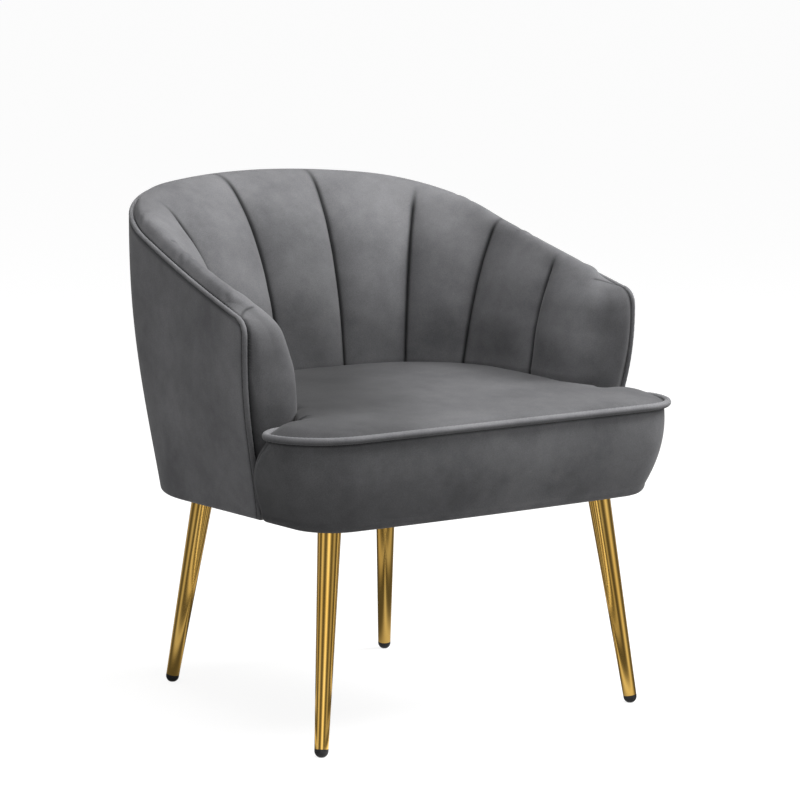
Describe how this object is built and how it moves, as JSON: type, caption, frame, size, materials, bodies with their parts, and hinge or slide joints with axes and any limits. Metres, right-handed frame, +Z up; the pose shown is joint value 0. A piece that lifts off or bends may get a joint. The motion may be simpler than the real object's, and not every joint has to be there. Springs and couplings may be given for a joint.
{
  "type": "tub chair",
  "caption": "Low tub chair with a channelled velvet back that flows into the arms, a piped T-shaped seat and splayed tapered gold tube legs with dark foot caps.",
  "frame": {"origin": "on the floor under the middle of the chair's outline", "axes": "+Z up; the chair faces -Y; +X is the sitter's left; symmetric about x = 0"},
  "size_m": [0.6606, 0.6323, 0.7356],
  "materials": {
    "velvet": "short-pile velvet, soft sheen",
    "piping": "velvet-covered piping",
    "foam": "open-cell foam",
    "deck_felt": "needled felt",
    "dust_cloth": "non-woven cloth",
    "liner_board": "raw fibreboard",
    "timber": "raw plywood",
    "spring_steel": "drawn wire",
    "leg": "polished gold plating on steel tube",
    "leg_plate": "black",
    "screw": "zinc plated",
    "foot_cap": "black nylon"
  },
  "bodies": {
    "root": {"arm_facing_left": "velvet", "arm_facing_right": "velvet", "arm_post_left": "timber", "arm_post_right": "timber", "arm_top_rail_left": "timber", "arm_top_rail_right": "timber", "back_post_left": "timber", "back_post_right": "timber", "back_top_rail": "timber", "base_panel": "timber", "channel_centre": "velvet", "channel_left_1": "velvet", "channel_left_2": "velvet", "channel_left_3": "velvet", "channel_left_4": "velvet", "channel_right_1": "velvet", "channel_right_2": "velvet", "channel_right_3": "velvet", "channel_right_4": "velvet", "deck_pad": "deck_felt", "dust_cover": "dust_cloth", "dust_cover_staples": "spring_steel", "foot_cap_back_left": "foot_cap", "foot_cap_back_right": "foot_cap", "foot_cap_front_left": "foot_cap", "foot_cap_front_right": "foot_cap", "inner_board": "liner_board", "leg_back_left": "leg", "leg_back_right": "leg", "leg_front_left": "leg", "leg_front_right": "leg", "leg_plate_back_left": "leg_plate", "leg_plate_back_right": "leg_plate", "leg_plate_front_left": "leg_plate", "leg_plate_front_right": "leg_plate", "leg_screws": "screw", "outer_cover": "velvet", "outer_liner": "liner_board", "seat_back_rail": "timber", "seat_boxing": "velvet", "seat_foam": "foam", "seat_front_rail": "timber", "seat_side_rail_left": "timber", "seat_side_rail_right": "timber", "seat_springs": "spring_steel", "seat_top": "velvet", "seat_welt": "piping", "side_post_left": "timber", "side_post_right": "timber", "spring_clips": "spring_steel", "tub_welt": "piping"}
  },
  "joints": []
}
